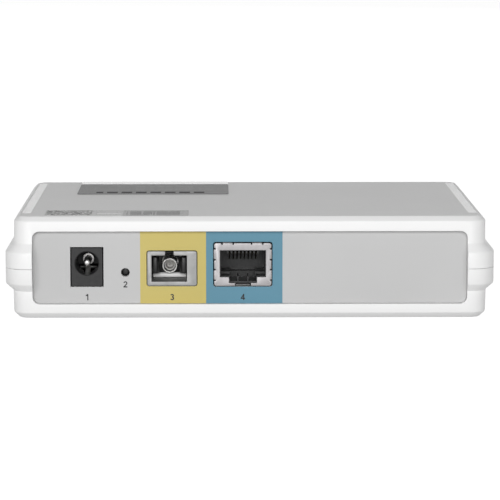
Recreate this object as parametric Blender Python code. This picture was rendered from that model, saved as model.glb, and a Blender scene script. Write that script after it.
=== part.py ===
"""Optical network terminal: a small two-part plastic case with a DC jack, an optical
SC socket, an RJ45 socket and a pin-hole reset button on its rear panel.

Units in the file's own numbers are millimetres; MM turns them into metres. The rear
(socket) side faces -Y, +X is the right side seen from the rear, +Z is up, and the
rubber feet rest on z = 0.
"""
import math

import bmesh
import bpy
from mathutils import Vector

MM = 0.001

# Case
BODY_HX = 64.0          # half width of the case above and below the side band
BODY_HY = 43.95         # half depth
BAND_HX = 66.4          # half width over the side band
BAND_HY = 45.95
CASE_BOTTOM = 0.4
CASE_TOP = 28.2
WALL = 1.8
PARTING = 14.1
SEAM = 0.08             # open seam between the two case halves
BAND_TOP = 18.3
BAND_TOP_ROOT = 20.9
BAND_LOW = 10.0
BAND_LOW_ROOT = 7.9
BODY_R = 4.4            # corner radii seen from above
BAND_R = 6.2
LOWER_SWELL = 0.2       # the lower half is this much wider per side
CHAMFER = 1.3           # lid edge
FOOT_CHAMFER = 1.5      # bottom edge
INNER_HX = BODY_HX - WALL
INNER_HY = 42.15
BAND_INNER_HX = BAND_HX - WALL - 0.4
CORNER_SEGMENTS = 5

# Vent slots along both side edges of the lid
VENT_COUNT = 34
VENT_PITCH = 2.2
VENT_WIDTH = 1.45
VENT_X = (59.7, 62.15)
VENT_CENTRE_Y = 1.9

# Rear opening and panel
OPENING_HX = 58.88
OPENING_Z = (4.3, 24.2)
OPENING_RADIUS = 1.9
PANEL_FRONT = -42.1
PANEL_BACK = -40.6
PANEL_GAP = 0.12
FILM_FRONT = -42.35
FILM_THICK = 0.2
FILM_GAP = 0.06

# Circuit board
PCB_HX = 58.0
PCB_Y = (-40.0, 38.6)
PCB_TOP = 8.85
PCB_THICK = 1.6
STANDOFF = 0.3          # air under soldered parts

# DC jack
JACK_X = -44.2
JACK_HOLE_Z = 15.3
JACK_BORE_R = 3.15
JACK_Z = (9.1, 19.5)
JACK_HX = 4.2
JACK_Y = (-42.3, -29.3)
JACK_BORE_END = -32.0
JACK_PIN_R = 1.0
LEAF_HX = 2.3           # half width of the spring leaf at its crest
LEAF_TONGUE_HX = 0.7    # half width of its narrow front arm

# Reset button
RESET_X = -33.8
RESET_Z = 12.8
RESET_HOLE_R = 1.2
RESET_STEM_R = 1.0
RESET_COLLAR_R = 1.75

# Optical SC socket
SC_X = (-27.85, -14.45)
SC_Z = (9.2, 18.6)
SC_Y = (-42.55, -25.0)
SC_CORNER = 0.5
SC_GAP = 0.2            # panel cut-out beyond the metal frame
SC_OPEN_X = (-26.7, -17.1)
SC_OPEN_Z = (10.3, 17.44)
SC_KEY_X = (-23.0, -20.7)
SC_AXIS_X = -21.85
SC_AXIS_Z = 13.95

# RJ45 socket
RJ_X = (-9.7, 5.8)
RJ_Z = (9.17, 20.82)
RJ_Y = (-42.9, -22.5)
RJ_WALL = 0.45
RJ_GAP = 0.3            # panel cut-out beyond the shield
RJ_SPRING = 0.13        # height of the ground fingers on the shield
RJ_TOP_SPRINGS = ((-7.59, -4.53), (0.42, 3.45))
RJ_SIDE_SPRINGS = ((16.3, 19.3), (10.7, 13.6))
RJ_SLIT = 0.36          # slit beside each ground finger
RJ_OPEN_X = (-8.18, 4.32)
RJ_OPEN_Z = (11.55, 18.89)
RJ_LATCH_X = (-5.7, 1.88)
RJ_LATCH_Z = 9.94
RJ_TONGUE_X = (-4.08, 0.26)
RJ_PITCH = 1.02
RJ_CONTACTS = 8
RJ_CONTACT_Y = -40.4    # front of the contact comb

# Fasteners and feet
SCREW_X = 54.4
SCREW_Y = 33.0
FOOT_X = 44.0
FOOT_Y = 33.0
FOOT_R = 4.3
FOOT_TALL = 1.2

# Front indicators
LED_X0 = -34.0
LED_STEP = 6.0
LED_COUNT = 4
LED_Z = 23.4


def clear_scene():
    for obj in list(bpy.data.objects):
        bpy.data.objects.remove(obj, do_unlink=True)


def material(name, rgb, roughness, metallic=0.0):
    mat = bpy.data.materials.new(name)
    mat.use_nodes = True
    shader = mat.node_tree.nodes["Principled BSDF"]
    shader.inputs["Base Color"].default_value = (rgb[0], rgb[1], rgb[2], 1.0)
    shader.inputs["Roughness"].default_value = roughness
    shader.inputs["Metallic"].default_value = metallic
    mat.diffuse_color = (rgb[0], rgb[1], rgb[2], 1.0)
    return mat


def finish(name, bm, mat, origin=None, sharp=35.0):
    """Turns a bmesh drawn in millimetres into a placed object whose origin is `origin`."""
    bmesh.ops.recalc_face_normals(bm, faces=bm.faces)
    if origin is None:
        low = Vector([min(v.co[i] for v in bm.verts) for i in range(3)])
        high = Vector([max(v.co[i] for v in bm.verts) for i in range(3)])
        origin = (low + high) / 2.0
    origin = Vector(origin)
    for v in bm.verts:
        v.co = (v.co - origin) * MM
    for f in bm.faces:
        f.smooth = True
    mesh = bpy.data.meshes.new(name)
    bm.to_mesh(mesh)
    bm.free()
    mesh.set_sharp_from_angle(angle=math.radians(sharp))
    if mat is not None:
        mesh.materials.append(mat)
    obj = bpy.data.objects.new(name, mesh)
    bpy.context.scene.collection.objects.link(obj)
    obj.location = origin * MM
    return obj


def hide_tool(obj):
    obj.hide_render = True
    obj.display_type = "WIRE"
    return obj


def boolean(obj, tool, operation="DIFFERENCE"):
    mod = obj.modifiers.new(operation.title(), "BOOLEAN")
    mod.operation = operation
    mod.solver = "EXACT"
    mod.object = tool


def bevel(obj, width, segments=2, angle=40.0):
    mod = obj.modifiers.new("Bevel", "BEVEL")
    mod.width = width * MM
    mod.segments = segments
    mod.limit_method = "ANGLE"
    mod.angle_limit = math.radians(angle)
    mod.harden_normals = True
    return mod


def add_box(bm, lo, hi):
    corners = []
    for z in (lo[2], hi[2]):
        for x, y in ((lo[0], lo[1]), (hi[0], lo[1]), (hi[0], hi[1]), (lo[0], hi[1])):
            corners.append(bm.verts.new((x, y, z)))
    quads = ((3, 2, 1, 0), (4, 5, 6, 7), (0, 1, 5, 4), (1, 2, 6, 5), (2, 3, 7, 6), (3, 0, 4, 7))
    for quad in quads:
        bm.faces.new([corners[i] for i in quad])


def add_loft(bm, rings):
    """Skins a run of equal-length rings and closes both ends."""
    loops = [[bm.verts.new(p) for p in ring] for ring in rings]
    count = len(loops[0])
    for a, b in zip(loops, loops[1:]):
        for i in range(count):
            j = (i + 1) % count
            bm.faces.new((a[i], a[j], b[j], b[i]))
    bm.faces.new(list(reversed(loops[0])))
    bm.faces.new(loops[-1])


def rounded_rect(hx, hy, radius, cx=0.0, cy=0.0, segments=CORNER_SEGMENTS):
    points = []
    for k, (sx, sy) in enumerate(((1, 1), (-1, 1), (-1, -1), (1, -1))):
        for i in range(segments + 1):
            a = math.radians(90.0 * k + 90.0 * i / segments)
            px = cx + sx * (hx - radius) + radius * math.cos(a)
            py = cy + sy * (hy - radius) + radius * math.sin(a)
            points.append((px, py))
    return points


def ring_xy(hx, hy, radius, z, cx=0.0, cy=0.0, segments=CORNER_SEGMENTS):
    return [(x, y, z) for x, y in rounded_rect(hx, hy, radius, cx, cy, segments)]


def ring_xz(x_span, z_span, radius, y, segments=CORNER_SEGMENTS):
    hx = (x_span[1] - x_span[0]) / 2.0
    hz = (z_span[1] - z_span[0]) / 2.0
    cx = (x_span[1] + x_span[0]) / 2.0
    cz = (z_span[1] + z_span[0]) / 2.0
    return [(x, y, z) for x, z in rounded_rect(hx, hz, radius, cx, cz, segments)]


def add_turned(bm, centre, axis, profile, segments=32):
    """Closed turned solid: profile is (radius, distance along axis) from one end to the other."""
    rings = []
    for radius, along in profile:
        ring = []
        for i in range(segments):
            a = 2.0 * math.pi * i / segments
            u = radius * math.cos(a)
            v = radius * math.sin(a)
            if axis == "Y":
                ring.append((centre[0] + u, along, centre[2] + v))
            elif axis == "X":
                ring.append((along, centre[1] + u, centre[2] + v))
            else:
                ring.append((centre[0] + u, centre[1] + v, along))
        rings.append(ring)
    add_loft(bm, rings)


def turned(name, centre, axis, profile, mat, segments=32, origin=None):
    bm = bmesh.new()
    add_turned(bm, centre, axis, profile, segments)
    return finish(name, bm, mat, origin)


def tube(name, centre, outer, inner, y0, y1, mat, edge=0.1, segments=32):
    """Open tube along Y with a small chamfer on each rim."""
    bm = bmesh.new()
    profile = (
        (inner, y0 + edge), (inner + edge, y0), (outer - edge, y0), (outer, y0 + edge),
        (outer, y1 - edge), (outer - edge, y1), (inner + edge, y1), (inner, y1 - edge),
    )
    loops = []
    for radius, y in profile:
        loop = []
        for i in range(segments):
            a = 2.0 * math.pi * i / segments
            x = centre[0] + radius * math.cos(a)
            z = centre[2] + radius * math.sin(a)
            loop.append(bm.verts.new((x, y, z)))
        loops.append(loop)
    for k in range(len(loops)):
        a = loops[k]
        b = loops[(k + 1) % len(loops)]
        for i in range(segments):
            j = (i + 1) % segments
            bm.faces.new((a[i], a[j], b[j], b[i]))
    return finish(name, bm, mat)


def block(name, lo, hi, mat, edge=0.0, segments=2, origin=None):
    bm = bmesh.new()
    add_box(bm, lo, hi)
    obj = finish(name, bm, mat, origin)
    if edge > 0.0:
        bevel(obj, edge, segments)
    return obj


def tool_boxes(name, spans):
    bm = bmesh.new()
    for lo, hi in spans:
        add_box(bm, lo, hi)
    return hide_tool(finish(name, bm, None))


def tool_turned(name, items, segments=32):
    bm = bmesh.new()
    for centre, axis, profile in items:
        add_turned(bm, centre, axis, profile, segments)
    return hide_tool(finish(name, bm, None))


def rod(radius, a, b):
    return ((radius, a), (radius, b))


def strip(name, path, x, half_widths, thick, mat):
    """Bent sheet strip centred on x: `path` is its line in the YZ plane, one width per point."""
    points = [Vector(p) for p in path]
    upper = []
    lower = []
    for i, p in enumerate(points):
        before = points[max(i - 1, 0)]
        after = points[min(i + 1, len(points) - 1)]
        t = (after - before).normalized()
        n = Vector((-t.y, t.x))
        upper.append(p + n * thick / 2.0)
        lower.append(p - n * thick / 2.0)
    outline = upper + list(reversed(lower))
    bm = bmesh.new()
    reach = list(half_widths) + list(reversed(half_widths))
    near = [bm.verts.new((x - r, q.x, q.y)) for q, r in zip(outline, reach)]
    far = [bm.verts.new((x + r, q.x, q.y)) for q, r in zip(outline, reach)]
    count = len(points)
    total = len(outline)
    for i in range(total):
        j = (i + 1) % total
        bm.faces.new((near[i], near[j], far[j], far[i]))
    for side in (near, far):
        for i in range(count - 1):
            bm.faces.new((side[i], side[i + 1], side[total - 2 - i], side[total - 1 - i]))
    return finish(name, bm, mat)


clear_scene()

WHITE = material("case_white", (0.86, 0.86, 0.85), 0.45)
FILM = material("panel_film", (0.58, 0.58, 0.58), 0.5)
LABEL_DARK = material("lid_label_dark", (0.17, 0.17, 0.17), 0.4)
LABEL_PAPER = material("label_paper", (0.75, 0.75, 0.75), 0.6)
BLACK = material("black_plastic", (0.03, 0.03, 0.03), 0.45)
JACK_BLACK = material("jack_plastic", (0.06, 0.06, 0.06), 0.5)
STEEL = material("shield_steel", (0.66, 0.65, 0.64), 0.32, 1.0)
SC_METAL = material("sc_frame_zinc", (0.62, 0.62, 0.63), 0.4, 0.8)
NICKEL = material("nickel", (0.8, 0.78, 0.74), 0.2, 1.0)
GOLD = material("gold_contact", (0.83, 0.62, 0.26), 0.25, 1.0)
CERAMIC = material("zirconia", (0.9, 0.88, 0.84), 0.25)
GREEN = material("pcb_green", (0.03, 0.19, 0.08), 0.4)
CHIP = material("chip_epoxy", (0.035, 0.035, 0.04), 0.55)
ALUMINIUM = material("aluminium", (0.75, 0.76, 0.77), 0.35, 1.0)
CAN_SLEEVE = material("capacitor_sleeve", (0.05, 0.06, 0.12), 0.35)
LENS = material("clear_lens", (0.8, 0.84, 0.82), 0.15)
LED_BODY = material("led_body", (0.85, 0.85, 0.8), 0.4)
RUBBER = material("rubber", (0.05, 0.05, 0.05), 0.8)
ZINC = material("screw_zinc", (0.7, 0.7, 0.72), 0.3, 1.0)

SCREWS = [(sx * SCREW_X, sy * SCREW_Y) for sy in (-1, 1) for sx in (-1, 1)]
FEET = [(sx * FOOT_X, sy * FOOT_Y) for sy in (-1, 1) for sx in (-1, 1)]


def make_upper_shell():
    bottom = PARTING + SEAM / 2.0
    rings = [
        ring_xy(INNER_HX - 0.5, INNER_HY - 0.5, 2.1, CASE_TOP - 1.7),
        ring_xy(INNER_HX, INNER_HY, 2.4, CASE_TOP - 2.2),
        ring_xy(INNER_HX, INNER_HY, 2.4, BAND_TOP_ROOT - 0.3),
        ring_xy(BAND_INNER_HX, INNER_HY, 2.8, BAND_TOP + 0.5),
        ring_xy(BAND_INNER_HX, INNER_HY, 2.8, bottom + 1.3),
        ring_xy(BAND_HX - 0.75, BAND_HY - 0.75, BAND_R - 0.75, bottom + 1.3),
        ring_xy(BAND_HX - 0.75, BAND_HY - 0.75, BAND_R - 0.75, bottom),
        ring_xy(BAND_HX - 0.04, BAND_HY - 0.04, BAND_R - 0.04, bottom),
        ring_xy(BAND_HX, BAND_HY, BAND_R, bottom + 0.04),
        ring_xy(BAND_HX, BAND_HY, BAND_R, BAND_TOP),
        ring_xy(BAND_HX - 0.12, BAND_HY - 0.12, BAND_R - 0.1, BAND_TOP + 0.35),
        ring_xy(BODY_HX + 0.25, BODY_HY + 0.25, BODY_R + 0.25, BAND_TOP_ROOT - 0.3),
        ring_xy(BODY_HX + 0.05, BODY_HY + 0.05, BODY_R + 0.05, BAND_TOP_ROOT + 0.1),
        ring_xy(BODY_HX, BODY_HY, BODY_R, CASE_TOP - CHAMFER - 0.2),
        ring_xy(BODY_HX - 0.06, BODY_HY - 0.06, BODY_R - 0.06, CASE_TOP - CHAMFER),
        ring_xy(BODY_HX - 0.2, BODY_HY - 0.2, BODY_R - 0.2, CASE_TOP - CHAMFER + 0.16),
        ring_xy(BODY_HX - CHAMFER + 0.1, BODY_HY - CHAMFER + 0.1, BODY_R - 1.1, CASE_TOP - 0.16),
        ring_xy(BODY_HX - CHAMFER - 0.05, BODY_HY - CHAMFER - 0.05, BODY_R - 1.25, CASE_TOP - 0.04),
        ring_xy(BODY_HX - CHAMFER - 0.2, BODY_HY - CHAMFER - 0.2, BODY_R - 1.4, CASE_TOP),
    ]
    bm = bmesh.new()
    add_loft(bm, rings)
    shell = finish("upper_shell", bm, WHITE, origin=(0, 0, PARTING), sharp=30.0)
    bosses = [((x, y, 0), "Z", rod(2.9, PCB_TOP + 0.3, CASE_TOP - 1.0)) for x, y in SCREWS]
    boolean(shell, tool_turned("upper_bosses", bosses, 16), "UNION")
    pilots = [((x, y, 0), "Z", rod(1.4, PCB_TOP - 1.0, 20.0)) for x, y in SCREWS]
    boolean(shell, tool_turned("upper_pilots", pilots, 12))
    boolean(shell, REAR_CUTTER)
    slots = []
    for i in range(VENT_COUNT):
        y = VENT_CENTRE_Y + (i - (VENT_COUNT - 1) / 2.0) * VENT_PITCH
        for side in (-1, 1):
            xs = sorted((side * VENT_X[0], side * VENT_X[1]))
            lo = (xs[0], y - VENT_WIDTH / 2.0, CASE_TOP - 4.0)
            hi = (xs[1], y + VENT_WIDTH / 2.0, CASE_TOP + 1.0)
            slots.append((lo, hi))
    boolean(shell, tool_boxes("vent_slots", slots))
    lenses = []
    for i in range(LED_COUNT):
        x = LED_X0 + i * LED_STEP
        lenses.append(((x, 0, LED_Z), "Y", rod(1.35, INNER_HY - 2.0, BODY_HY + 2.0)))
    boolean(shell, tool_turned("lens_holes", lenses, 20))
    return shell


def make_lower_shell():
    top = PARTING - SEAM / 2.0
    low_hx = BODY_HX + LOWER_SWELL
    cut = FOOT_CHAMFER
    rings = [
        ring_xy(INNER_HX - 0.9, INNER_HY - 0.9, 1.8, CASE_BOTTOM + WALL),
        ring_xy(INNER_HX, INNER_HY, 2.4, CASE_BOTTOM + WALL + 0.9),
        ring_xy(INNER_HX, INNER_HY, 2.4, BAND_LOW_ROOT + 0.3),
        ring_xy(BAND_INNER_HX, INNER_HY, 2.8, BAND_LOW + 0.1),
        ring_xy(BAND_INNER_HX, INNER_HY, 2.8, top + 1.2),
        ring_xy(BAND_HX - 1.05, BAND_HY - 1.05, BAND_R - 1.05, top + 1.2),
        ring_xy(BAND_HX - 1.05, BAND_HY - 1.05, BAND_R - 1.05, top),
        ring_xy(BAND_HX - 0.04, BAND_HY - 0.04, BAND_R - 0.04, top),
        ring_xy(BAND_HX, BAND_HY, BAND_R, top - 0.04),
        ring_xy(BAND_HX, BAND_HY, BAND_R, BAND_LOW),
        ring_xy(BAND_HX - 0.15, BAND_HY - 0.15, BAND_R - 0.1, BAND_LOW - 0.35),
        ring_xy(low_hx + 0.3, BODY_HY + 0.3, BODY_R + 0.25, BAND_LOW_ROOT + 0.2),
        ring_xy(low_hx + 0.1, BODY_HY + 0.1, BODY_R + 0.05, BAND_LOW_ROOT - 0.1),
        ring_xy(low_hx, BODY_HY, BODY_R, CASE_BOTTOM + cut + 0.25),
        ring_xy(low_hx - 0.08, BODY_HY - 0.08, BODY_R - 0.08, CASE_BOTTOM + cut),
        ring_xy(low_hx - 0.24, BODY_HY - 0.24, BODY_R - 0.2, CASE_BOTTOM + cut - 0.2),
        ring_xy(low_hx - cut + 0.12, BODY_HY - cut + 0.12, BODY_R - 1.2, CASE_BOTTOM + 0.18),
        ring_xy(low_hx - cut - 0.08, BODY_HY - cut - 0.08, BODY_R - 1.4, CASE_BOTTOM + 0.04),
        ring_xy(low_hx - cut - 0.25, BODY_HY - cut - 0.25, BODY_R - 1.5, CASE_BOTTOM),
    ]
    bm = bmesh.new()
    add_loft(bm, rings)
    shell = finish("lower_shell", bm, WHITE, origin=(0, 0, CASE_BOTTOM), sharp=30.0)
    pcb_bottom = PCB_TOP - PCB_THICK
    bosses = [((x, y, 0), "Z", rod(3.9, CASE_BOTTOM + 0.8, pcb_bottom - 0.3)) for x, y in SCREWS]
    boolean(shell, tool_turned("lower_bosses", bosses, 20), "UNION")
    bm = bmesh.new()
    for x in (-52.0, -36.0, -10.0, 20.0, 50.0):
        add_box(bm, (x - 1.0, PANEL_BACK + 0.3, CASE_BOTTOM + 0.9), (x + 1.0, PANEL_BACK + 2.2, 6.6))
    boolean(shell, hide_tool(finish("panel_ribs", bm, None)), "UNION")
    wells = []
    for x, y in SCREWS:
        wells.append(((x, y, 0), "Z", ((3.0, -1.0), (3.0, 3.4), (1.6, 3.4), (1.6, 9.0))))
    boolean(shell, tool_turned("screw_wells", wells, 20))
    recesses = [((x, y, 0), "Z", rod(FOOT_R + 0.3, -1.0, FOOT_TALL + 0.05)) for x, y in FEET]
    boolean(shell, tool_turned("foot_recesses", recesses, 24))
    boolean(shell, REAR_CUTTER)
    return shell


def make_rear_cutter():
    bm = bmesh.new()
    spans = ((-OPENING_HX, OPENING_HX), OPENING_Z, OPENING_RADIUS)
    add_loft(bm, [ring_xz(*spans, -50.0), ring_xz(*spans, -40.0)])
    return hide_tool(finish("rear_opening", bm, None))


def port_cutouts(y0, y1, name):
    """Openings of the rear panel and its film for the sockets and the reset pin-hole."""
    bm = bmesh.new()
    add_box(bm, (JACK_X - 4.5, y0, 8.87), (JACK_X + 4.5, y1, 19.77))
    sc_x = (SC_X[0] - SC_GAP, SC_X[1] + SC_GAP)
    sc_z = (SC_Z[0] - SC_GAP, SC_Z[1] + SC_GAP)
    sc_r = SC_CORNER + SC_GAP
    add_loft(bm, [ring_xz(sc_x, sc_z, sc_r, y0, 3), ring_xz(sc_x, sc_z, sc_r, y1, 3)])
    corner = 0.7
    rj_x = (RJ_X[0] - RJ_GAP, RJ_X[1] + RJ_GAP)
    rj_z = (RJ_Z[0] - 0.3, RJ_Z[1] + RJ_GAP)
    add_loft(bm, [ring_xz(rj_x, rj_z, corner, y0, 4), ring_xz(rj_x, rj_z, corner, y1, 4)])
    add_turned(bm, (RESET_X, 0, RESET_Z), "Y", rod(RESET_HOLE_R, y0, y1), 28)
    return hide_tool(finish(name, bm, None))


def make_rear_panel():
    inset = OPENING_HX - PANEL_GAP
    z_in = (OPENING_Z[0] + PANEL_GAP, OPENING_Z[1] - PANEL_GAP)
    flange_y = -INNER_HY + 0.3
    flange_x = (-OPENING_HX - 1.3, OPENING_HX + 1.3)
    flange_z = (OPENING_Z[0] - 1.1, OPENING_Z[1] + 1.2)
    bm = bmesh.new()
    add_loft(bm, [
        ring_xz((-inset, inset), z_in, OPENING_RADIUS - PANEL_GAP, PANEL_FRONT),
        ring_xz((-inset, inset), z_in, OPENING_RADIUS - PANEL_GAP, flange_y),
        ring_xz(flange_x, flange_z, 2.4, flange_y),
        ring_xz(flange_x, flange_z, 2.4, PANEL_BACK),
    ])
    panel = finish("rear_panel", bm, WHITE)
    boolean(panel, port_cutouts(-50.0, -35.0, "panel_cutouts"))
    inset = OPENING_HX - FILM_GAP
    z_film = (OPENING_Z[0] + FILM_GAP, OPENING_Z[1] - FILM_GAP)
    film_r = OPENING_RADIUS - FILM_GAP
    bm = bmesh.new()
    add_loft(bm, [
        ring_xz((-inset, inset), z_film, film_r, FILM_FRONT),
        ring_xz((-inset, inset), z_film, film_r, FILM_FRONT + FILM_THICK),
    ])
    film = finish("panel_film", bm, FILM)
    boolean(film, port_cutouts(-49.0, -36.0, "film_cutouts"))


def make_labels():
    z0 = CASE_TOP + 0.05
    bm = bmesh.new()
    add_loft(bm, [ring_xy(21.9, 12.8, 0.8, z, -27.5, 22.4, 3) for z in (z0, z0 + 0.15)])
    finish("lid_label", bm, LABEL_DARK)
    bm = bmesh.new()
    add_loft(bm, [ring_xy(21.9, 3.25, 0.6, z, -27.5, 38.95, 3) for z in (z0, z0 + 0.15)])
    finish("lid_label_strip", bm, LABEL_PAPER)
    bm = bmesh.new()
    add_loft(bm, [ring_xy(19.5, 6.0, 0.5, z, -36.2, -36.3, 3) for z in (z0, z0 + 0.12)])
    finish("serial_label", bm, LABEL_PAPER)


def make_pcb():
    z0 = PCB_TOP - PCB_THICK
    cy = (PCB_Y[0] + PCB_Y[1]) / 2.0
    hy = (PCB_Y[1] - PCB_Y[0]) / 2.0
    bm = bmesh.new()
    add_loft(bm, [ring_xy(PCB_HX, hy, 2.0, z, 0.0, cy, 3) for z in (z0, PCB_TOP)])
    pcb = finish("pcb", bm, GREEN)
    holes = [((x, y, 0), "Z", rod(1.7, 0.0, 20.0)) for x, y in SCREWS]
    boolean(pcb, tool_turned("pcb_holes", holes, 16))


def make_dc_jack():
    body = block(
        "dc_jack_body",
        (JACK_X - JACK_HX, JACK_Y[0], JACK_Z[0]),
        (JACK_X + JACK_HX, JACK_Y[1], JACK_Z[1]),
        JACK_BLACK,
    )
    bore = (
        (JACK_BORE_R + 0.25, -45.0), (JACK_BORE_R + 0.25, JACK_Y[0]),
        (JACK_BORE_R, JACK_Y[0] + 0.25), (JACK_BORE_R, JACK_BORE_END),
        (JACK_PIN_R + 0.3, JACK_BORE_END), (JACK_PIN_R + 0.3, -27.0),
    )
    boolean(body, tool_turned("dc_bore", [((JACK_X, 0, JACK_HOLE_Z), "Y", bore)], 36))
    pocket_hx = LEAF_HX + 0.35
    pocket = ((JACK_X - pocket_hx, -35.1, 10.4), (JACK_X + pocket_hx, -27.0, 13.8))
    boolean(body, tool_boxes("dc_pocket", [pocket]))
    groove_hx = LEAF_TONGUE_HX + 0.35
    groove = ((JACK_X - groove_hx, -41.4, 10.9), (JACK_X + groove_hx, -34.6, 12.7))
    boolean(body, tool_boxes("dc_groove", [groove]))
    bevel(body, 0.2, 2, 50.0)
    pin = [
        (0.25, -41.0), (0.62, -40.88), (0.9, -40.6), (JACK_PIN_R, -40.15),
        (JACK_PIN_R, JACK_BORE_END - 0.95), (1.55, JACK_BORE_END - 0.9),
        (1.6, JACK_BORE_END - 0.8), (1.6, JACK_BORE_END - 0.35),
        (1.55, JACK_BORE_END - 0.3), (JACK_PIN_R, JACK_BORE_END - 0.3), (JACK_PIN_R, -28.3),
    ]
    turned("dc_centre_pin", (JACK_X, 0, JACK_HOLE_Z), "Y", pin, NICKEL, 20)
    arm = [
        (-41.0, 11.8), (-40.75, 12.1), (-40.3, 12.26), (-39.5, 12.33), (-38.0, 12.45),
        (-36.0, 12.8), (-34.4, 13.2),
    ]
    crest = [(-34.2, 13.28), (-33.4, 13.3), (-32.6, 13.12), (-31.8, 12.8), (-31.0, 12.45)]
    widths = [LEAF_TONGUE_HX] * len(arm) + [LEAF_HX] * len(crest)
    leaf = strip("dc_leaf_contact", arm + crest, JACK_X, widths, 0.3, NICKEL)
    bevel(leaf, 0.08, 2, 60.0)


def make_reset():
    body = block(
        "reset_switch_body",
        (RESET_X - 3.1, -38.4, PCB_TOP + STANDOFF),
        (RESET_X + 3.1, -34.4, RESET_Z + 3.3),
        BLACK,
    )
    chamber = (
        (RESET_STEM_R + 0.25, -45.0), (RESET_STEM_R + 0.25, -37.6),
        (RESET_COLLAR_R + 0.25, -37.6), (RESET_COLLAR_R + 0.25, -35.3),
    )
    boolean(body, tool_turned("reset_chamber", [((RESET_X, 0, RESET_Z), "Y", chamber)], 20))
    bevel(body, 0.15, 2, 50.0)
    plunger = (
        (0.75, -40.25), (0.93, -40.18), (RESET_STEM_R, -40.0), (RESET_STEM_R, -37.45),
        (RESET_COLLAR_R - 0.05, -37.45), (RESET_COLLAR_R, -37.4), (RESET_COLLAR_R, -36.6),
        (RESET_COLLAR_R - 0.2, -36.5),
    )
    axis_point = (RESET_X, -40.25, RESET_Z)
    turned("reset_plunger", (RESET_X, 0, RESET_Z), "Y", plunger, BLACK, 20, axis_point)
    dome = (
        (1.7, -35.4), (1.7, -35.55), (1.3, -35.75), (0.8, -35.88), (0.3, -35.92),
    )
    turned("reset_dome", (RESET_X, 0, RESET_Z), "Y", dome, NICKEL, 16)


def make_sc_socket():
    bm = bmesh.new()
    add_loft(bm, [ring_xz(SC_X, SC_Z, SC_CORNER, y, 3) for y in SC_Y])
    frame = finish("sc_frame", bm, SC_METAL)
    well = ((SC_OPEN_X[0], -50.0, SC_OPEN_Z[0]), (SC_OPEN_X[1], -28.6, SC_OPEN_Z[1]))
    boolean(frame, tool_boxes("sc_well", [well]))
    bm = bmesh.new()
    flare = 0.75
    x0 = SC_KEY_X[0]
    x1 = SC_KEY_X[1]
    outline = (
        (x0, SC_Z[1] + 1.0), (x0, SC_OPEN_Z[1] + 0.35), (x0 - flare * 0.2, SC_OPEN_Z[1] - 0.4),
        (x1 + flare * 0.2, SC_OPEN_Z[1] - 0.4), (x1, SC_OPEN_Z[1] + 0.35), (x1, SC_Z[1] + 1.0),
    )
    add_loft(bm, [[(x, y, z) for x, z in outline] for y in (-50.0, -33.0)])
    boolean(frame, hide_tool(finish("sc_key", bm, None)))
    neck = ((SC_AXIS_X, 0, SC_AXIS_Z), "Y", rod(2.9, -30.0, -20.0))
    boolean(frame, tool_turned("sc_neck", [neck], 32))
    bevel(frame, 0.12, 2, 50.0)

    insert = block(
        "sc_latch_insert",
        (SC_OPEN_X[0] + 0.3, -30.3, SC_OPEN_Z[0] + 0.3),
        (SC_OPEN_X[1] - 0.3, -28.9, SC_OPEN_Z[1] - 0.3),
        BLACK,
    )
    bm = bmesh.new()
    for side in (-1, 1):
        wall = SC_OPEN_X[0] + 0.3 if side < 0 else SC_OPEN_X[1] - 0.3
        arm = (
            (wall, -29.6), (wall, -38.5), (wall - side * 1.0, -38.5),
            (wall - side * 1.75, -37.4), (wall - side * 1.75, -36.7),
            (wall - side * 0.95, -36.3), (wall - side * 0.95, -29.6),
        )
        z0 = SC_AXIS_Z - 1.95
        z1 = SC_AXIS_Z + 2.4
        add_loft(bm, [[(x, y, z) for x, y in arm] for z in (z0, z1)])
    boolean(insert, hide_tool(finish("sc_arms", bm, None)), "UNION")
    neck = ((SC_AXIS_X, 0, SC_AXIS_Z), "Y", rod(2.3, -33.0, -26.0))
    boolean(insert, tool_turned("sc_insert_hole", [neck], 32))
    bevel(insert, 0.12, 2, 50.0)

    centre = (SC_AXIS_X, 0, SC_AXIS_Z)
    tube("sc_sleeve_holder", centre, 2.0, 1.68, -37.2, -26.4, NICKEL, 0.08, 28)
    tube("sc_split_sleeve", centre, 1.4, 1.2, -36.0, -28.2, CERAMIC, 0.05, 24)
    ferrule = [
        (0.3, -32.6), (0.38, -33.6), (0.75, -33.6), (1.0, -33.45), (1.12, -33.15),
        (1.15, -32.8), (1.15, -26.6),
    ]
    turned("sc_ferrule", centre, "Y", ferrule, CERAMIC, 20)
    bar = [
        (0.5, SC_OPEN_X[0] + 0.2), (0.72, SC_OPEN_X[0] + 0.4), (0.72, SC_OPEN_X[1] - 0.4),
        (0.5, SC_OPEN_X[1] - 0.2),
    ]
    bar_centre = (0, -35.4, SC_OPEN_Z[0] + 0.87)
    turned("sc_retaining_bar", bar_centre, "X", bar, NICKEL, 16)
    bosa = [
        (2.2, -26.1), (2.6, -26.1), (2.6, -24.4), (3.4, -24.4), (3.5, -24.3), (3.5, -15.1),
        (3.4, -15.0),
    ]
    turned("optical_subassembly", centre, "Y", bosa, NICKEL, 24)
    can = [
        (2.6, -14.7), (2.7, -14.6), (2.7, -13.8), (2.2, -13.7), (2.2, -11.0), (2.1, -10.9),
    ]
    turned("laser_can", centre, "Y", can, GOLD, 20)


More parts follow.
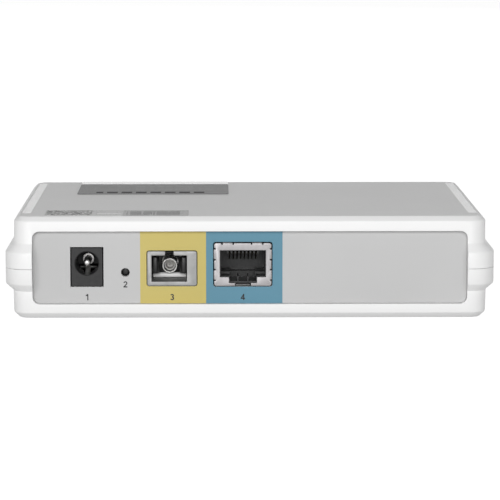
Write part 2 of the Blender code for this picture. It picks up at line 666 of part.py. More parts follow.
def make_rj45():
    bm = bmesh.new()
    add_loft(bm, [ring_xz(RJ_X, RJ_Z, 0.6, y, 3) for y in RJ_Y])
    shield = finish("rj45_shield", bm, STEEL)
    well = (
        (RJ_X[0] + RJ_WALL, RJ_Y[0] + 0.5, RJ_Z[0] + RJ_WALL),
        (RJ_X[1] - RJ_WALL, RJ_Y[1] - 0.5, RJ_Z[1] - RJ_WALL),
    )
    boolean(shield, tool_boxes("rj45_hollow", [well]))
    bm = bmesh.new()
    outline = (
        (RJ_OPEN_X[0], RJ_OPEN_Z[1]), (RJ_OPEN_X[0], RJ_OPEN_Z[0]),
        (RJ_LATCH_X[0], RJ_OPEN_Z[0]), (RJ_LATCH_X[0], RJ_LATCH_Z),
        (RJ_LATCH_X[1], RJ_LATCH_Z), (RJ_LATCH_X[1], RJ_OPEN_Z[0]),
        (RJ_OPEN_X[1], RJ_OPEN_Z[0]), (RJ_OPEN_X[1], RJ_OPEN_Z[1]),
    )
    mouth = [[(x, y, z) for x, z in outline] for y in (-46.0, RJ_Y[0] + 1.0)]
    add_loft(bm, mouth)
    boolean(shield, hide_tool(finish("rj45_mouth", bm, None)))
    bm = bmesh.new()
    back = RJ_Y[0] + 7.0
    front = RJ_Y[0] + 0.25
    for x0, x1 in RJ_TOP_SPRINGS:
        add_box(bm, (x0, front, RJ_Z[1] - 0.3), (x1, back, RJ_Z[1] + RJ_SPRING))
    for edge in RJ_X:
        for z0, z1 in RJ_SIDE_SPRINGS:
            add_box(bm, (edge - RJ_SPRING, front, z0), (edge + RJ_SPRING, back, z1))
    boolean(shield, hide_tool(finish("rj45_springs", bm, None)), "UNION")
    slits = []
    half = RJ_SLIT / 2.0
    for span in RJ_TOP_SPRINGS:
        for x in span:
            slits.append(((x - half, -44.0, RJ_Z[1] - 0.4), (x + half, back - 0.6, RJ_Z[1] + 1.0)))
    for span in RJ_SIDE_SPRINGS:
        for z in span:
            slits.append(((RJ_X[0] - 1.0, -44.0, z - half), (RJ_X[0] + 0.4, back - 0.6, z + half)))
            slits.append(((RJ_X[1] - 0.4, -44.0, z - half), (RJ_X[1] + 1.0, back - 0.6, z + half)))
    boolean(shield, tool_boxes("rj45_slits", slits))
    slot = ((RJ_TONGUE_X[0], -44.0, RJ_Z[0] - 1.0), (RJ_TONGUE_X[1], RJ_Y[0] + 3.2, RJ_LATCH_Z + 0.1))
    boolean(shield, tool_boxes("rj45_tongue_slot", [slot]))
    bevel(shield, 0.08, 2, 50.0)

    gap = RJ_WALL + 0.25
    lo = (RJ_X[0] + gap, RJ_Y[0] + 0.8, RJ_Z[0] + gap)
    hi = (RJ_X[1] - gap, RJ_Y[1] - 0.8, RJ_Z[1] - gap)
    insert = block("rj45_insert", lo, hi, BLACK)
    bm = bmesh.new()
    add_box(bm, (RJ_OPEN_X[0] + 0.25, -46.0, 11.8), (RJ_OPEN_X[1] - 0.25, -29.0, 18.7))
    boolean(insert, hide_tool(finish("rj45_plug_well", bm, None)))
    bm = bmesh.new()
    add_box(bm, (RJ_LATCH_X[0] + 0.2, -46.0, 10.35), (RJ_LATCH_X[1] - 0.2, -33.0, 12.2))
    boolean(insert, hide_tool(finish("rj45_latch_well", bm, None)))
    middle = (RJ_OPEN_X[0] + RJ_OPEN_X[1]) / 2.0
    bm = bmesh.new()
    for i in range(RJ_CONTACTS + 1):
        x = middle + (i - RJ_CONTACTS / 2.0) * RJ_PITCH
        add_box(bm, (x - 0.2, -41.6, 17.9), (x + 0.2, -30.0, 19.1))
    for x in (middle - 1.35, middle + 1.35):
        add_box(bm, (x - 0.17, -42.2, 10.0), (x + 0.17, -36.0, 11.7))
    for side, wall in ((1, RJ_OPEN_X[0] + 0.25), (-1, RJ_OPEN_X[1] - 0.25)):
        xs = sorted((wall - side * 0.4, wall + side * 2.6))
        add_box(bm, (xs[0], -37.3, 11.4), (xs[1], -30.0, 12.3))
    boolean(insert, hide_tool(finish("rj45_ribs", bm, None)), "UNION")
    for i in range(RJ_CONTACTS):
        x = middle + (i - (RJ_CONTACTS - 1) / 2.0) * RJ_PITCH
        bend = ((0.0, 17.75), (0.3, 18.05), (0.8, 18.2), (1.4, 18.1), (7.8, 15.3))
        path = [(RJ_CONTACT_Y + y, z) for y, z in bend]
        strip(f"rj45_contact_{i + 1}", path, x, [0.19] * len(path), 0.26, GOLD)


def make_board_parts():
    z = PCB_TOP + STANDOFF
    block("line_transformer", (-8.0, -19.5, z), (5.0, -11.0, z + 5.6), CHIP, 0.3)
    block("main_chip", (12.0, -6.0, z), (26.0, 8.0, z + 1.4), CHIP, 0.15)
    base = z + 1.7
    sink = block("heat_sink", (10.0, -8.0, base), (28.0, 10.0, base + 7.5), ALUMINIUM)
    gaps = []
    for i in range(6):
        x = 11.4 + i * 2.65
        gaps.append(((x, -10.0, base + 1.6), (x + 1.4, 12.0, base + 9.0)))
    boolean(sink, tool_boxes("sink_gaps", gaps))
    block("memory_chip", (12.0, 16.0, z), (22.0, 28.0, z + 1.1), CHIP, 0.1)
    block("flash_chip", (32.0, -2.0, z), (37.5, 3.5, z + 1.6), CHIP, 0.1)
    block("power_inductor", (-50.0, -16.5, z), (-42.5, -9.0, z + 4.2), CHIP, 0.5)
    for n, (x, y) in enumerate(((-46.5, 2.0), (-35.5, -12.0)), start=1):
        can = [
            (3.75, z), (4.0, z + 0.25), (4.0, z + 1.2), (3.8, z + 1.45), (4.0, z + 1.7),
            (4.0, z + 9.6), (3.8, z + 9.9), (3.3, z + 9.9), (3.25, z + 9.8),
        ]
        turned(f"capacitor_{n}", (x, y, 0), "Z", can, CAN_SLEEVE, 20)
    bm = bmesh.new()
    add_loft(bm, [
        ring_xy(5.5, 2.3, 2.2, z, -8.0, 2.0, 5),
        ring_xy(5.5, 2.3, 2.2, z + 0.5, -8.0, 2.0, 5),
        ring_xy(5.1, 1.9, 1.8, z + 0.5, -8.0, 2.0, 5),
        ring_xy(5.1, 1.9, 1.8, z + 3.4, -8.0, 2.0, 5),
        ring_xy(4.9, 1.7, 1.6, z + 3.6, -8.0, 2.0, 5),
    ])
    finish("crystal", bm, NICKEL)
    for i in range(LED_COUNT):
        x = LED_X0 + i * LED_STEP
        block(f"led_{i + 1}", (x - 0.8, 33.5, z), (x + 0.8, 35.5, z + 0.9), LED_BODY, 0.1)
        bm = bmesh.new()
        column = (
            (x - 1.1, 33.2, z + 1.2), (x + 1.1, 35.8, LED_Z + 1.1),
        )
        add_box(bm, column[0], column[1])
        pipe = finish(f"light_pipe_{i + 1}", bm, LENS)
        nose = ((1.05, 35.0), (1.05, BODY_HY + 0.05), (0.9, BODY_HY + 0.25))
        tool = tool_turned(f"light_pipe_nose_{i + 1}", [((x, 0, LED_Z), "Y", nose)], 16)
        boolean(pipe, tool, "UNION")


def make_fasteners():
    for n, (x, y) in enumerate(SCREWS, start=1):
        profile = [
            (2.0, 1.15), (2.45, 1.3), (2.6, 1.7), (2.6, 2.7), (1.2, 3.1), (1.2, 17.4),
            (0.4, 18.4),
        ]
        screw = turned(f"case_screw_{n}", (x, y, 0), "Z", profile, ZINC, 16)
        bm = bmesh.new()
        add_box(bm, (x - 1.3, y - 0.3, 0.5), (x + 1.3, y + 0.3, 2.0))
        cross = finish(f"screw_slot_a_{n}", bm, None)
        boolean(screw, hide_tool(cross))
        bm = bmesh.new()
        add_box(bm, (x - 0.3, y - 1.3, 0.5), (x + 0.3, y + 1.3, 2.0))
        cross = finish(f"screw_slot_b_{n}", bm, None)
        boolean(screw, hide_tool(cross))
    for n, (x, y) in enumerate(FEET, start=1):
        profile = [
            (FOOT_R - 0.5, 0.0), (FOOT_R - 0.15, 0.1), (FOOT_R, 0.4), (FOOT_R, FOOT_TALL),
        ]
        turned(f"foot_{n}", (x, y, 0), "Z", profile, RUBBER, 24)


REAR_CUTTER = make_rear_cutter()
make_upper_shell()
make_lower_shell()
make_rear_panel()
make_labels()
make_pcb()
make_dc_jack()
make_reset()
make_sc_socket()
make_rj45()
make_board_parts()
make_fasteners()
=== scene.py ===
"""Looks of the optical network terminal: surfaces, printed numerals, studio and camera."""

import math

import bmesh
import bpy
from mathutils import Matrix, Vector

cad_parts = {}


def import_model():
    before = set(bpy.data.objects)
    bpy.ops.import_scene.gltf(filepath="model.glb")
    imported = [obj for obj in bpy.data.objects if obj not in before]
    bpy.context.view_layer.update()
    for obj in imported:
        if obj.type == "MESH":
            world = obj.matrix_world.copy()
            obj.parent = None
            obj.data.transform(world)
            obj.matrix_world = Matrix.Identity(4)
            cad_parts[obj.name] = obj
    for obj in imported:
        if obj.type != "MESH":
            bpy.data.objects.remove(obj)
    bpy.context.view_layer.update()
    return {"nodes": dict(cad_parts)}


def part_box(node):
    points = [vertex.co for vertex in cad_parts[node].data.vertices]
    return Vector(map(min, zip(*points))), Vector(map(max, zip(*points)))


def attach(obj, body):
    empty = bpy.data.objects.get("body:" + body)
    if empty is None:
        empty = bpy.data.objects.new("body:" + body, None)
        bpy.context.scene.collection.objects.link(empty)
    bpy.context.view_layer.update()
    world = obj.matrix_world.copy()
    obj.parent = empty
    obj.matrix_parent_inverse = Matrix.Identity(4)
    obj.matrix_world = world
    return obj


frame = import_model()
NODES = frame["nodes"]

MM = 0.001
FILM_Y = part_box("panel_film")[0][1]     # front face of the printed panel film


def link_object(name, data):
    """New object for a mesh, light or camera, placed in the scene."""
    obj = bpy.data.objects.new(name, data)
    bpy.context.scene.collection.objects.link(obj)
    return obj


# ---------------------------------------------------------------- materials
NOISE_LOW = 0.3         # a noise texture's values lie mostly between these two
NOISE_HIGH = 0.7


class Graph:
    """Small helper that wires one material's node tree."""

    def __init__(self, name):
        self.mat = bpy.data.materials.new(name)
        self.mat.use_nodes = True
        self.tree = self.mat.node_tree
        self.shader = self.tree.nodes["Principled BSDF"]
        self.coord = self.tree.nodes.new("ShaderNodeTexCoord").outputs["Object"]

    def link(self, a, b):
        self.tree.links.new(a, b)

    def put(self, socket, value):
        if isinstance(value, bpy.types.NodeSocket):
            self.link(value, socket)
        elif isinstance(value, (tuple, list)) and len(value) == 3 and socket.type == "RGBA":
            socket.default_value = (*value, 1.0)
        else:
            socket.default_value = value

    def math(self, op, a, b=0.0, clamp=False):
        node = self.tree.nodes.new("ShaderNodeMath")
        node.operation = op
        node.use_clamp = clamp
        self.put(node.inputs[0], a)
        self.put(node.inputs[1], b)
        return node.outputs[0]

    def axis(self, index):
        """One object coordinate in metres: 0 is x, 1 is y."""
        node = self.tree.nodes.new("ShaderNodeSeparateXYZ")
        self.link(self.coord, node.inputs[0])
        return node.outputs[index]

    def noise(self, scale, detail=3.0, roughness=0.55, stretch=None):
        node = self.tree.nodes.new("ShaderNodeTexNoise")
        node.inputs["Scale"].default_value = scale
        node.inputs["Detail"].default_value = detail
        node.inputs["Roughness"].default_value = roughness
        source = self.coord
        if stretch is not None:
            mapping = self.tree.nodes.new("ShaderNodeMapping")
            mapping.inputs["Scale"].default_value = stretch
            self.link(self.coord, mapping.inputs["Vector"])
            source = mapping.outputs["Vector"]
        self.link(source, node.inputs["Vector"])
        return node.outputs["Fac"]

    def ramp(self, fac, low, high, start=NOISE_LOW, stop=NOISE_HIGH):
        """Value that runs from low to high while fac runs from start to stop."""
        node = self.tree.nodes.new("ShaderNodeMapRange")
        self.put(node.inputs["Value"], fac)
        node.inputs["From Min"].default_value = start
        node.inputs["From Max"].default_value = stop
        node.inputs["To Min"].default_value = low
        node.inputs["To Max"].default_value = high
        return node.outputs["Result"]

    def mix(self, fac, a, b, blend="MIX"):
        node = self.tree.nodes.new("ShaderNodeMix")
        node.data_type = "RGBA"
        node.blend_type = blend
        self.put(node.inputs[0], fac)
        self.put(node.inputs[6], a)
        self.put(node.inputs[7], b)
        return node.outputs[2]

    def times(self, a, b):
        return self.math("MULTIPLY", a, b)

    def above(self, value, edge):
        return self.math("GREATER_THAN", value, edge)

    def inside(self, value, low, high):
        """Mask that is 1 between two values, 0 elsewhere."""
        return self.times(self.above(value, low), self.math("LESS_THAN", value, high))

    def repeat(self, value, pitch):
        """Place within a pattern's period, from 0 to 1."""
        return self.math("FRACT", self.times(value, 1.0 / pitch))

    def bump(self, height, distance, edge=0.0):
        """Fine relief, with sharp edges rounded by the radius given in edge."""
        node = self.tree.nodes.new("ShaderNodeBump")
        node.inputs["Strength"].default_value = 1.0
        node.inputs["Distance"].default_value = distance
        self.link(height, node.inputs["Height"])
        if edge > 0.0:
            self.link(self.round_edges(edge), node.inputs["Normal"])
        self.link(node.outputs["Normal"], self.shader.inputs["Normal"])

    def round_edges(self, radius):
        node = self.tree.nodes.new("ShaderNodeBevel")
        node.samples = 6
        node.inputs["Radius"].default_value = radius
        return node.outputs["Normal"]

    def surface(self, colour, roughness, metallic=0.0):
        self.put(self.shader.inputs["Base Color"], colour)
        self.put(self.shader.inputs["Roughness"], roughness)
        self.put(self.shader.inputs["Metallic"], metallic)
        return self.mat


def plastic(name, colour, roughness, grain, depth, edge, spread):
    """Moulded plastic: grain is the relief's scale, depth its height, spread the change of tint."""
    g = Graph(name)
    cloud = g.noise(35.0, 4.0)
    tint = g.ramp(cloud, 1.0 - spread, 1.0 + spread)
    shade = g.mix(1.0, colour, tint, "MULTIPLY")
    fine = g.noise(grain, 2.0, 0.6)
    rough = g.math("ADD", g.ramp(fine, -0.05, 0.05), roughness)
    g.bump(fine, depth, edge)
    return g.surface(shade, rough)


def metal(name, colour, roughness, brushed=(1.0, 1.0, 1.0)):
    """Plated or bare metal; brushed stretches its fine streaks along an axis."""
    g = Graph(name)
    streak = g.noise(900.0, 3.0, 0.6, stretch=brushed)
    smudge = g.noise(120.0, 3.0)
    shade = g.mix(1.0, colour, g.ramp(smudge, 0.9, 1.08), "MULTIPLY")
    rough = g.math("ADD", g.ramp(streak, -0.07, 0.07), roughness, clamp=True)
    g.bump(streak, 0.000004, 0.0001)
    return g.surface(shade, rough, 1.0)


YELLOW_LEFT = -0.02977      # the two colour blocks share the middle line
BLOCKS_MEET = -0.01191
BLUE_RIGHT = 0.00881


def film_material():
    """Printed overlay: grey, with one yellow and one blue block behind the two data sockets."""
    g = Graph("printed_film")
    x = g.axis(0)
    grey = (0.475, 0.475, 0.475)
    yellow = (0.505, 0.415, 0.116)
    blue = (0.082, 0.223, 0.305)
    colour = g.mix(g.inside(x, YELLOW_LEFT, BLOCKS_MEET), grey, yellow)
    colour = g.mix(g.inside(x, BLOCKS_MEET, BLUE_RIGHT), colour, blue)
    cloud = g.noise(22.0, 3.0)
    colour = g.mix(1.0, colour, g.ramp(cloud, 0.965, 1.035), "MULTIPLY")
    fine = g.noise(2600.0, 2.0)
    g.bump(fine, 0.000004, 0.00006)
    return g.surface(colour, g.ramp(fine, 0.42, 0.6))


def lid_label_material():
    """Dark satin plate with faint neutral dashes in place of any printed wording."""
    g = Graph("lid_label_print")
    x = g.axis(0)
    y = g.axis(1)
    pitch = 0.0042
    base = (0.140, 0.140, 0.142)
    pale = (0.4, 0.4, 0.4)
    black = (0.02, 0.02, 0.02)
    cell = g.noise(420.0, 1.0, 0.5, stretch=(1.0, 0.02, 1.0))
    light_rows = g.times(g.above(g.repeat(y, pitch), 0.62), g.inside(y, 0.0180, 0.0310))
    light_cells = g.times(g.above(cell, 0.47), g.inside(x, -0.045, -0.010))
    light = g.times(light_rows, light_cells)
    dark_row = g.times(g.inside(y, 0.0114, 0.0150), g.inside(x, -0.0440, -0.0125))
    dark = g.times(dark_row, g.above(g.repeat(x, pitch), 0.26))
    cloud = g.ramp(g.noise(60.0, 3.0), 0.92, 1.10)
    colour = g.mix(g.times(light, 0.22), base, pale)
    colour = g.mix(g.times(dark, 0.75), colour, black)
    colour = g.mix(1.0, colour, cloud, "MULTIPLY")
    fine = g.noise(1800.0, 2.0)
    g.bump(fine, 0.000003)
    rough = g.math("ADD", g.ramp(fine, 0.30, 0.42), g.times(dark, 0.40), clamp=True)
    return g.surface(colour, rough)


def random_squares(g, side):
    """Black and white squares in no order, which hold no data."""
    snap = g.tree.nodes.new("ShaderNodeVectorMath")
    snap.operation = "SNAP"
    snap.inputs[1].default_value = (side, side, 1.0)
    g.link(g.coord, snap.inputs[0])
    cells = g.tree.nodes.new("ShaderNodeTexWhiteNoise")
    g.link(snap.outputs[0], cells.inputs["Vector"])
    return g.above(cells.outputs["Value"], 0.5)


def serial_label_material():
    """Glossy sticker: a field of random squares on the left, rows of neutral dashes on the right."""
    g = Graph("serial_label_print")
    x = g.axis(0)
    y = g.axis(1)
    paper = (0.52, 0.52, 0.515)
    shaded_paper = (0.36, 0.36, 0.36)
    bright_rule = (0.82, 0.82, 0.82)
    ink = (0.03, 0.03, 0.03)
    code_field = g.times(g.inside(x, -0.0554, -0.0430), g.inside(y, -0.0417, -0.0309))
    code = g.times(random_squares(g, 0.00055), code_field)
    cell = g.noise(800.0, 1.0, 0.5, stretch=(1.0, 0.02, 1.0))
    dash_cells = g.times(g.above(cell, 0.47), g.above(g.repeat(y, 0.0024), 0.5))
    dash_field = g.times(g.inside(x, -0.0335, -0.0190), g.inside(y, -0.0414, -0.0330))
    dash = g.times(dash_cells, dash_field)
    rule = g.times(g.inside(x, -0.0415, -0.0350), g.inside(y, -0.0385, -0.0372))
    plain = g.mix(g.above(x, -0.0345), paper, shaded_paper)
    plain = g.mix(rule, plain, bright_rule)
    printed = g.math("MAXIMUM", code, dash)
    colour = g.mix(g.times(printed, 0.62), plain, ink)
    fine = g.noise(1400.0, 3.0)
    colour = g.mix(1.0, colour, g.ramp(fine, 0.94, 1.05), "MULTIPLY")
    g.bump(fine, 0.000003)
    rough = g.math("ADD", g.ramp(fine, 0.26, 0.36), g.times(printed, 0.35), clamp=True)
    return g.surface(colour, rough)


def board_material():
    """Green solder mask with a darker and lighter net of tracks."""
    g = Graph("solder_mask")
    lines = g.tree.nodes.new("ShaderNodeTexVoronoi")
    lines.feature = "DISTANCE_TO_EDGE"
    lines.inputs["Scale"].default_value = 260.0
    g.link(g.coord, lines.inputs["Vector"])
    track = g.ramp(lines.outputs["Distance"], 1.0, 0.0, 0.02, 0.10)
    colour = g.mix(track, (0.012, 0.10, 0.035), (0.03, 0.22, 0.08))
    fine = g.noise(700.0, 2.0)
    g.bump(fine, 0.00001, 0.0001)
    return g.surface(colour, 0.32)


def lens_material():
    """Clear moulded light guide, slightly hazy."""
    g = Graph("clear_guide")
    haze = g.ramp(g.noise(300.0, 2.0), 0.06, 0.2)
    g.shader.inputs["IOR"].default_value = 1.49
    g.shader.inputs["Transmission Weight"].default_value = 0.75
    return g.surface((0.86, 0.92, 0.88), haze)


CASE = plastic("case_plastic", (0.80, 0.80, 0.798), 0.42, 1400.0, 0.000008, 0.00005, 0.012)
PANEL = plastic("panel_plastic", (0.72, 0.72, 0.715), 0.5, 1400.0, 0.000008, 0.0002, 0.02)
BLACK = plastic("socket_black", (0.009, 0.009, 0.0095), 0.38, 900.0, 0.00001, 0.00012, 0.15)
JACK = plastic("jack_black", (0.0075, 0.0075, 0.008), 0.60, 900.0, 0.00001, 0.00015, 0.08)
EPOXY = plastic("chip_epoxy", (0.02, 0.02, 0.022), 0.6, 1200.0, 0.00001, 0.00012, 0.15)
RUBBER = plastic("foot_rubber", (0.02, 0.02, 0.02), 0.82, 700.0, 0.00003, 0.0002, 0.2)
SLEEVE = plastic("capacitor_sleeve", (0.02, 0.03, 0.07), 0.32, 500.0, 0.00001, 0.0002, 0.1)
LED = plastic("led_plastic", (0.7, 0.7, 0.6), 0.35, 800.0, 0.00001, 0.0001, 0.05)
# Split sleeve and ferrule: the grey is painted shade on white ceramic that sits deep inside the fibre
# socket.
ZIRCONIA_PAINTED_SHADE = plastic("zirconia", (0.50, 0.49, 0.47), 0.3, 600.0, 0.000003, 0.00005, 0.04)
PAPER = plastic("label_stock", (0.86, 0.86, 0.855), 0.12, 2000.0, 0.000006, 0.0, 0.03)
TIN = metal("shield_tin", (0.33, 0.32, 0.325), 0.52, (1.0, 1.0, 0.05))
CAST = metal("socket_frame_metal", (0.33, 0.33, 0.327), 0.60)
NICKEL = metal("nickel_plate", (0.70, 0.69, 0.67), 0.26)
# Centre pin: nickel darker than the other nickel parts, as painted shade for the pin inside the jack's
# bore.
PIN_SHADED_NICKEL = metal("pin_nickel_painted_shade", (0.50, 0.49, 0.48), 0.30)
BAR = plastic("bar_satin", (0.60, 0.60, 0.595), 0.36, 900.0, 0.000004, 0.0001, 0.05)
GOLD = metal("gold_flash", (0.83, 0.62, 0.28), 0.24)
# Socket contacts: the near-black colour is painted shade for contacts deep inside the data socket, not
# the tone of their plating.
CONTACT_PAINTED_SHADE = metal("contact_painted_shade", (0.06, 0.052, 0.04), 0.52)
LEAF = metal("leaf_steel", (0.62, 0.62, 0.61), 0.40)
SINK = metal("sink_aluminium", (0.76, 0.77, 0.78), 0.34, (0.05, 1.0, 1.0))
ZINC = metal("screw_zinc", (0.70, 0.70, 0.72), 0.3)
LENS = lens_material()

COATS = {
    "upper_shell": CASE, "lower_shell": CASE, "rear_panel": PANEL,
    "panel_film": film_material(), "lid_label": lid_label_material(),
    "lid_label_strip": PAPER, "serial_label": serial_label_material(),
    "pcb": board_material(), "dc_jack_body": JACK, "dc_centre_pin": PIN_SHADED_NICKEL,
    "dc_leaf_contact": LEAF, "reset_switch_body": BLACK, "reset_plunger": BLACK,
    "reset_dome": NICKEL, "sc_frame": CAST, "sc_latch_insert": BLACK,
    "sc_sleeve_holder": NICKEL, "sc_split_sleeve": ZIRCONIA_PAINTED_SHADE, "sc_ferrule": ZIRCONIA_PAINTED_SHADE,
    "sc_retaining_bar": BAR, "optical_subassembly": NICKEL, "laser_can": GOLD,
    "rj45_shield": TIN, "rj45_insert": BLACK, "line_transformer": EPOXY,
    "main_chip": EPOXY, "heat_sink": SINK, "memory_chip": EPOXY, "flash_chip": EPOXY,
    "power_inductor": EPOXY, "capacitor_1": SLEEVE, "capacitor_2": SLEEVE, "crystal": NICKEL,
}
for prefix, coat in (
    ("rj45_contact_", CONTACT_PAINTED_SHADE), ("led_", LED), ("light_pipe_", LENS),
    ("case_screw_", ZINC), ("foot_", RUBBER),
):
    for name in NODES:
        if name.startswith(prefix):
            COATS[name] = coat


WELD_DISTANCE = 0.000001
SHARP_ANGLE = math.radians(32.0)        # edges steeper than this stay sharp


def soften_group():
    """Geometry nodes: joins the faces at their edges and rounds shading across shallow angles."""
    group = bpy.data.node_groups.new("soften_shading", "GeometryNodeTree")
    group.interface.new_socket("Geometry", in_out="INPUT", socket_type="NodeSocketGeometry")
    group.interface.new_socket("Geometry", in_out="OUTPUT", socket_type="NodeSocketGeometry")
    n = group.nodes
    start = n.new("NodeGroupInput")
    end = n.new("NodeGroupOutput")
    drop = n.new("GeometryNodeRemoveAttribute")
    drop.inputs["Name"].default_value = "custom_normal"
    weld = n.new("GeometryNodeMergeByDistance")
    weld.inputs["Distance"].default_value = WELD_DISTANCE
    faces = n.new("GeometryNodeSetShadeSmooth")
    faces.domain = "FACE"
    edges = n.new("GeometryNodeSetShadeSmooth")
    edges.domain = "EDGE"
    edges.inputs["Shade Smooth"].default_value = False
    angle = n.new("GeometryNodeInputMeshEdgeAngle")
    steep = n.new("FunctionNodeCompare")
    steep.data_type = "FLOAT"
    steep.operation = "GREATER_THAN"
    steep.inputs["B"].default_value = SHARP_ANGLE
    group.links.new(start.outputs[0], drop.inputs["Geometry"])
    group.links.new(drop.outputs["Geometry"], weld.inputs["Geometry"])
    group.links.new(weld.outputs["Geometry"], faces.inputs["Geometry"])
    group.links.new(faces.outputs["Geometry"], edges.inputs["Geometry"])
    group.links.new(angle.outputs["Unsigned Angle"], steep.inputs["A"])
    group.links.new(steep.outputs["Result"], edges.inputs["Selection"])
    group.links.new(edges.outputs["Geometry"], end.inputs[0])
    return group


SOFTEN = soften_group()
for name, obj in NODES.items():
    obj.data.materials.clear()
    obj.data.materials.append(COATS[name])
    mod = obj.modifiers.new("Soften", "NODES")
    mod.node_group = SOFTEN


# ---------------------------------------------------------------- numerals
INK = plastic("print_ink", (0.02, 0.02, 0.021), 0.5, 2000.0, 0.000003, 0.0, 0.1)

NUMERAL_HEIGHT = 0.0017
NUMERAL_PEN = 0.18          # pen width, as a part of the height
PRINT_LIFT = 0.00002        # ink's face in front of the film
PRINT_THICKNESS = 0.00001
LOWER_LINE = 0.0052         # foot of the numerals under the three sockets
UPPER_LINE = 0.0087         # foot of the numeral under the pin hole


def arc(cx, cy, rx, ry, start, stop, steps=14):
    """Points along an ellipse between two angles in degrees."""
    angles = [math.radians(start + (stop - start) * i / steps) for i in range(steps + 1)]
    return [(cx + rx * math.cos(a), cy + ry * math.sin(a)) for a in angles]


def glyph(numeral, h):
    """Width and pen strokes of a plain numeral, one unit tall; h is half the pen width."""
    if numeral == 1:
        w = 0.40
        return w, [[(w - h, 0), (w - h, 1)], [(0, 0.74), (0.12, 0.78), (w - 1.5 * h, 0.95)]]
    if numeral == 2:
        w = 0.64
        bow = arc(w / 2, 0.70, w / 2 - h, 0.30 - h, 170, -35)
        return w, [bow + [(1.3 * h, h)], [(0, h), (w, h)]]
    if numeral == 3:
        w = 0.64
        upper = arc(w / 2, 0.75, w / 2 - 1.3 * h, 0.25 - h, 160, -90)
        lower = arc(w / 2, 0.29, w / 2 - h, 0.29 - h, 90, -160)
        return w, [upper, lower]
    w = 0.70
    stem = w - 2.4 * h
    return w, [[(stem, 0), (stem, 1)], [(stem, 1 - h), (h, 0.28)], [(0, 0.28), (w, 0.28)]]


def pen_stroke(bm, path, half):
    """Flat ribbon of constant width along a path, mitred at its corners."""
    points = [Vector(p) for p in path]
    sides = []
    for i, p in enumerate(points):
        before = (p - points[i - 1]).normalized() if i > 0 else None
        after = (points[i + 1] - p).normalized() if i + 1 < len(points) else None
        t = ((before or after) + (after or before)).normalized()
        stretch = 1.0 / max(t.dot(after or before), 0.35)
        n = Vector((-t.y, t.x)) * half * stretch
        sides.append((bm.verts.new((*(p + n), 0.0)), bm.verts.new((*(p - n), 0.0))))
    for (a, b), (c, d) in zip(sides, sides[1:]):
        bm.faces.new((a, b, d, c))


def print_numeral(numeral, node, foot):
    """Plain numeral printed on the film, centred under one socket or hole."""
    low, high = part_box(node)
    width, strokes = glyph(numeral, NUMERAL_PEN / 2.0)
    left = (low[0] + high[0] - width * NUMERAL_HEIGHT) / 2.0
    bm = bmesh.new()
    for path in strokes:
        pen_stroke(bm, path, NUMERAL_PEN / 2.0)
    for v in bm.verts:
        x = left + v.co.x * NUMERAL_HEIGHT
        z = foot + v.co.y * NUMERAL_HEIGHT
        v.co = Vector((x, FILM_Y - PRINT_LIFT, z))
    name = f"print_numeral_{numeral}"
    mesh = bpy.data.meshes.new(name)
    bm.to_mesh(mesh)
    bm.free()
    mesh.materials.append(INK)
    obj = link_object(name, mesh)
    thick = obj.modifiers.new("Thickness", "SOLIDIFY")
    thick.thickness = PRINT_THICKNESS
    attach(obj, "terminal")


print_numeral(1, "dc_jack_body", LOWER_LINE)
print_numeral(2, "reset_plunger", UPPER_LINE)
print_numeral(3, "sc_frame", LOWER_LINE)
print_numeral(4, "rj45_shield", LOWER_LINE)


# ---------------------------------------------------------------- socket detail
TAB = metal("shield_tab_tin", (0.36, 0.35, 0.35), 0.58, (1.0, 1.0, 0.05))


TAB_LEFT = 5.95 * MM        # from the shield's left side
TAB_RIGHT = 9.75 * MM
TAB_FOOT = 0.12 * MM        # above the shield's underside
TAB_THICKNESS = 0.12 * MM
TAB_PROFILE = [(0.12, 0.10), (0.16, 0.04), (0.35, 0.05), (0.9, 0.22), (1.9, 0.50)]   # inwards, up; mm


def shield_tab():
    """Bent tab of the data socket's shield, rising inwards behind its latch notch."""
    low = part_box("rj45_shield")[0]
    x_span = (low[0] + TAB_LEFT, low[0] + TAB_RIGHT)
    bm = bmesh.new()
    rows = []
    for inwards, up in TAB_PROFILE:
        for lift in (0.0, TAB_THICKNESS):
            y = low[1] + inwards * MM
            z = low[2] + TAB_FOOT + up * MM + lift
            rows.append([bm.verts.new((x, y, z)) for x in x_span])
    for i in range(len(TAB_PROFILE) - 1):
        under, over, next_under, next_over = rows[2 * i:2 * i + 4]
        bm.faces.new((over[0], over[1], next_over[1], next_over[0]))
        bm.faces.new((under[1], under[0], next_under[0], next_under[1]))
        bm.faces.new((under[0], over[0], next_over[0], next_under[0]))
        bm.faces.new((over[1], under[1], next_under[1], next_over[1]))
    first_under, first_over = rows[0:2]
    last_under, last_over = rows[-2:]
    bm.faces.new((first_under[0], first_under[1], first_over[1], first_over[0]))
    bm.faces.new((last_over[0], last_over[1], last_under[1], last_under[0]))
    bmesh.ops.recalc_face_normals(bm, faces=bm.faces)
    mesh = bpy.data.meshes.new("rj45_shield_tab")
    bm.to_mesh(mesh)
    bm.free()
    mesh.materials.append(TAB)
    obj = link_object("rj45_shield_tab", mesh)
    edge = obj.modifiers.new("Edge", "BEVEL")
    edge.width = 0.00003
    edge.segments = 2
    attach(obj, "terminal")


shield_tab()


# ---------------------------------------------------------------- studio
FLOOR_HALF = 4.0
FLOOR_Z = -0.00002      # just under the feet
STUDIO_CENTRE = (0.0, 0.0, 0.01)


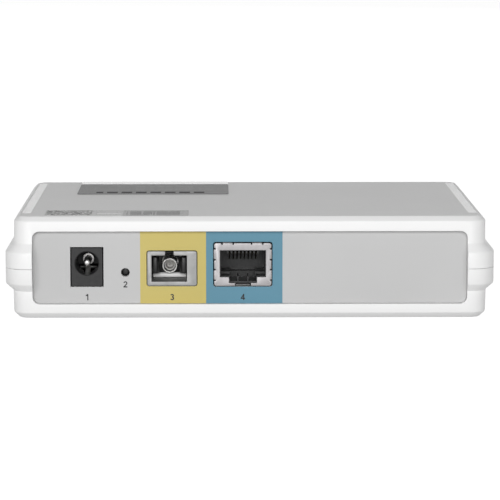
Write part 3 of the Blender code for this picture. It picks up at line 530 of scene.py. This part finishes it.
def floor():
    """White floor. Diffuse rays pass it, so the world's lower half sets the light from below."""
    mesh = bpy.data.meshes.new("studio_floor")
    s = FLOOR_HALF
    mesh.from_pydata([(-s, -s, 0), (s, -s, 0), (s, s, 0), (-s, s, 0)], [], [(0, 1, 2, 3)])
    obj = link_object("studio_floor", mesh)
    obj.location = (0, 0, FLOOR_Z)
    obj.visible_diffuse = False
    g = Graph("studio_floor")
    cloud = g.ramp(g.noise(1.5, 2.0), 0.985, 1.0)
    shade = g.mix(1.0, (0.40, 0.40, 0.40), cloud, "MULTIPLY")
    g.surface(shade, 0.9)
    g.shader.inputs["Specular IOR Level"].default_value = 0.1
    g.shader.inputs["Emission Color"].default_value = (1.0, 1.0, 1.0, 1.0)
    g.shader.inputs["Emission Strength"].default_value = 0.86
    mesh.materials.append(g.mat)


def area(name, location, width, height, energy):
    """Rectangular light aimed at the middle of the object."""
    light = bpy.data.lights.new(name, "AREA")
    light.shape = "RECTANGLE"
    light.size = width
    light.size_y = height
    light.energy = energy
    obj = link_object(name, light)
    obj.location = location
    aim = Vector(STUDIO_CENTRE) - Vector(location)
    obj.rotation_euler = aim.to_track_quat("-Z", "Y").to_euler()
    return obj


def height_ramp(tree, height, low, high, start, stop):
    """Smooth change from low to high between two heights of the surround."""
    node = tree.nodes.new("ShaderNodeMapRange")
    node.interpolation_type = "SMOOTHSTEP"
    node.inputs["From Min"].default_value = start
    node.inputs["From Max"].default_value = stop
    node.inputs["To Min"].default_value = low
    node.inputs["To Max"].default_value = high
    tree.links.new(height, node.inputs["Value"])
    return node.outputs["Result"]


def world(below, horizon, overhead):
    """Soft studio surround: bright at the horizon, dimmer overhead and from below."""
    surround = bpy.data.worlds.new("studio_world")
    bpy.context.scene.world = surround
    surround.use_nodes = True
    tree = surround.node_tree
    coord = tree.nodes.new("ShaderNodeTexCoord")
    split = tree.nodes.new("ShaderNodeSeparateXYZ")
    tree.links.new(coord.outputs["Generated"], split.inputs[0])
    height = split.outputs["Z"]
    upper = height_ramp(tree, height, horizon, overhead, 0.16, 0.30)
    lower = height_ramp(tree, height, below / horizon, 1.0, -0.09, -0.045)
    product = tree.nodes.new("ShaderNodeMath")
    product.operation = "MULTIPLY"
    tree.links.new(upper, product.inputs[0])
    tree.links.new(lower, product.inputs[1])
    background = tree.nodes["Background"]
    tree.links.new(product.outputs[0], background.inputs["Strength"])
    background.inputs["Color"].default_value = (1.0, 1.0, 1.0, 1.0)


CAMERA_PLACE = (-0.00869, -0.75443, 0.11469)
CAMERA_YAW = math.radians(0.699)        # turned slightly to the right
CAMERA_PITCH = math.radians(7.661)      # looking slightly down
CAMERA_LENS = 191.0


def aim_camera():
    """Long lens in front of the sockets, a little above the object."""
    camera = bpy.data.cameras.new("camera")
    camera.sensor_width = 36.0
    camera.lens = CAMERA_LENS
    camera.clip_start = 0.05
    camera.clip_end = 50.0
    eye = link_object("camera", camera)
    eye.location = CAMERA_PLACE
    level = math.cos(CAMERA_PITCH)
    look = Vector((math.sin(CAMERA_YAW) * level, math.cos(CAMERA_YAW) * level, -math.sin(CAMERA_PITCH)))
    eye.rotation_euler = look.to_track_quat("-Z", "Y").to_euler()
    bpy.context.scene.camera = eye


floor()
world(0.37, 1.02, 0.20)
area("key_front", (-0.15, -1.42, 0.53), 1.5, 0.6, 18.2)
fill = area("fill_back", (0.5, 1.5, 0.75), 1.2, 0.8, 7.0)
fill.visible_glossy = False
aim_camera()
bpy.context.scene.view_settings.view_transform = "Standard"
